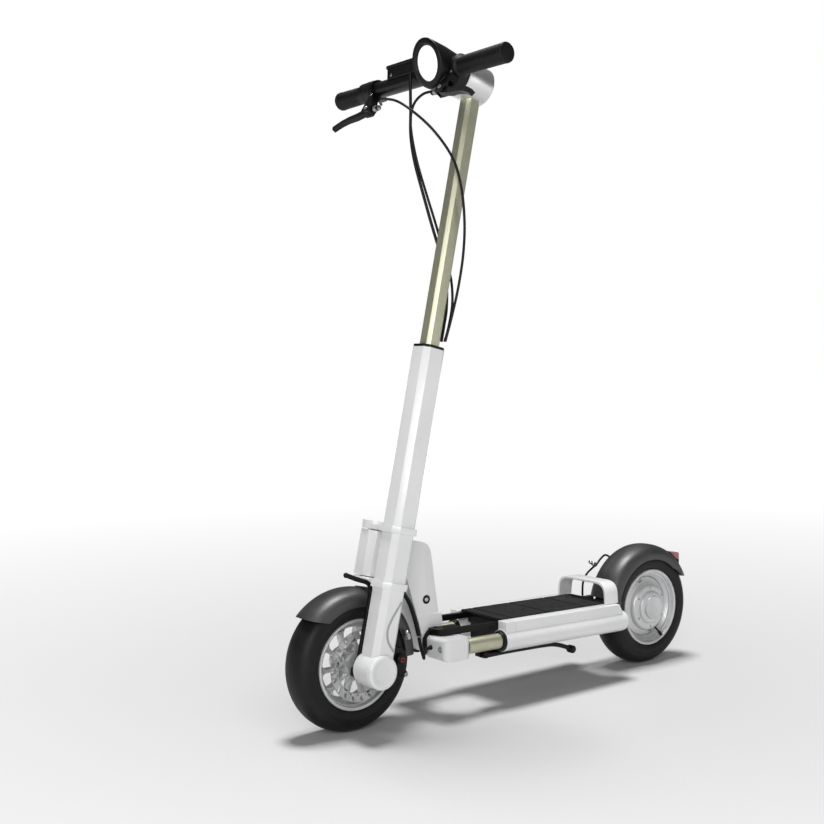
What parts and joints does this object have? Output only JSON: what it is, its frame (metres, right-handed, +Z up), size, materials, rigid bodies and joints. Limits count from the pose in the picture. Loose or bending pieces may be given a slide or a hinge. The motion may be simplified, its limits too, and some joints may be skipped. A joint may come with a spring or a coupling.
{
  "type": "electric kick scooter",
  "caption": "Electric kick scooter with a one-sided front leg, telescopic stem and deck, drum headlamp, mudguards, carry handle and folding kickstand.",
  "frame": {"origin": "centre of the bounding box on the ground the tyres stand on", "axes": "+X forward, +Y to the rider's left, +Z up from the ground"},
  "size_m": [1.055, 0.504, 1.2672],
  "materials": {
    "white_coat": "gloss",
    "black_coat": "satin",
    "gold_anodised": "satin",
    "bare_alloy": "satin",
    "steel": "satin",
    "tyre": "matte",
    "rubber": "matte",
    "black_plastic": "satin",
    "lamp_lens": "gloss",
    "red_lens": "gloss",
    "cable_sheath": "satin"
  },
  "bodies": {
    "rear_frame": {"rail_left": "white_coat", "rail_right": "white_coat", "rail_seal_left": "black_plastic", "rail_seal_right": "black_plastic", "deck_box": "black_coat", "deck_mat": "rubber", "deck_handle": "white_coat", "rear_arm": "white_coat", "rear_axle": "steel", "rear_mudguard": "black_plastic", "tail_housing": "black_plastic", "tail_lens": "red_lens", "kickstand_bracket": "black_coat", "cable_rear": "cable_sheath"},
    "front_frame": {"slide_tube_left": "gold_anodised", "slide_tube_right": "gold_anodised", "end_block_left": "white_coat", "end_block_right": "white_coat", "hinge_bracket_left": "black_coat", "hinge_bracket_right": "black_coat", "cable_neck_lower": "cable_sheath"},
    "neck": {"neck_shell": "white_coat", "head_tube": "white_coat", "cable_neck_upper": "cable_sheath"},
    "lock_button": {"lock_button": "steel"},
    "steer": {"yoke_lower": "white_coat", "yoke_upper": "white_coat", "stem_leg": "white_coat", "leg_collar": "rubber", "axle_housing": "white_coat", "stay_hook": "black_coat", "front_mudguard": "black_plastic", "caliper_body": "black_coat"},
    "caliper_arm": {"caliper_arm": "black_coat"},
    "front_wheel": {"front_tyre": "tyre", "front_rim": "bare_alloy", "brake_disc": "steel"},
    "upper_stem": {"inner_stem": "gold_anodised", "stem_drum": "white_coat", "lamp_barrel": "black_coat", "lamp_lens": "lamp_lens", "handlebar": "black_coat", "grip_left": "rubber", "grip_right": "rubber", "display_housing": "black_plastic", "lever_mount_left": "black_coat", "lever_mount_right": "black_coat", "throttle_body": "black_plastic", "cable_display": "cable_sheath", "cable_brake_left": "cable_sheath", "cable_brake_right": "cable_sheath"},
    "brake_lever_left": {"brake_lever_left": "black_coat"},
    "brake_lever_right": {"brake_lever_right": "black_coat"},
    "throttle": {"throttle_paddle": "black_plastic"},
    "power_button": {"power_button": "black_plastic"},
    "rear_wheel": {"rear_tyre": "tyre", "rear_rim": "bare_alloy", "motor_shell": "bare_alloy"},
    "rear_brake_arm": {"rear_brake_arm": "black_coat"},
    "kickstand": {"kickstand": "black_coat"}
  },
  "joints": [
    {"name": "wheelbase_slide", "type": "slide", "parent": "rear_frame", "child": "front_frame", "axis": [0.9997, 0, 0.0227], "range_m": [-0.045, 0]},
    {"name": "neck_fold", "type": "hinge", "parent": "front_frame", "child": "neck", "pos_m": [0.215, 0, 0.141], "axis": [0, -1, 0], "range_deg": [0, 65], "deforming": ["cable_neck_upper", "cable_neck_lower"]},
    {"name": "lock_press", "type": "slide", "parent": "neck", "child": "lock_button", "axis": [0, -1, 0], "range_m": [0, 0.003], "stiffness_N_per_m": 400},
    {"name": "steering", "type": "hinge", "parent": "neck", "child": "steer", "pos_m": [0.34303, 0, 0.32277], "axis": [-0.2181, 0, 0.9759], "range_deg": [-35, 35]},
    {"name": "front_wheel_spin", "type": "hinge", "parent": "steer", "child": "front_wheel", "pos_m": [0.4, 0, 0.1275], "axis": [0, 1, 0], "continuous": true},
    {"name": "caliper_swing", "type": "hinge", "parent": "steer", "child": "caliper_arm", "pos_m": [0.32008, 0.057, 0.12931], "axis": [0, 1, 0], "range_deg": [0, 8]},
    {"name": "stem_height", "type": "slide", "parent": "steer", "child": "upper_stem", "axis": [-0.2181, 0, 0.9759], "range_m": [-0.3, 0], "deforming": ["cable_display", "cable_brake_left", "cable_brake_right"]},
    {"name": "brake_left", "type": "hinge", "parent": "upper_stem", "child": "brake_lever_left", "pos_m": [0.2571, 0.114, 1.1684], "axis": [0.8231, 0, 0.5678], "range_deg": [0, 20], "stiffness_Nm_per_rad": 1, "springref_deg": -11.46},
    {"name": "brake_right", "type": "hinge", "parent": "upper_stem", "child": "brake_lever_right", "pos_m": [0.2571, -0.114, 1.1684], "axis": [-0.8231, 0, -0.5678], "range_deg": [0, 20], "stiffness_Nm_per_rad": 1, "springref_deg": -11.46},
    {"name": "throttle_turn", "type": "hinge", "parent": "upper_stem", "child": "throttle", "pos_m": [0.22587, -0.158, 1.21367], "axis": [0, -1, 0], "range_deg": [0, 40], "stiffness_Nm_per_rad": 0.3, "springref_deg": -8.59},
    {"name": "power_press", "type": "slide", "parent": "upper_stem", "child": "power_button", "axis": [0.2181, 0, -0.9759], "range_m": [0, 0.002], "stiffness_N_per_m": 300},
    {"name": "rear_wheel_spin", "type": "hinge", "parent": "rear_frame", "child": "rear_wheel", "pos_m": [-0.4, 0, 0.1275], "axis": [0, 1, 0], "continuous": true},
    {"name": "rear_brake_swing", "type": "hinge", "parent": "rear_frame", "child": "rear_brake_arm", "pos_m": [-0.4, -0.047, 0.1275], "axis": [0, 1, 0], "range_deg": [0, 8], "deforming": ["cable_rear"]},
    {"name": "kickstand_swing", "type": "hinge", "parent": "rear_frame", "child": "kickstand", "pos_m": [0.116, 0.062, 0.108], "axis": [0.097, -0.5828, -0.8068], "range_deg": [0, 35]}
  ],
  "couplings": [
    {"joint": "caliper_swing", "follows": "brake_left", "ratio": 0.4},
    {"joint": "rear_brake_swing", "follows": "brake_right", "ratio": 0.4}
  ]
}
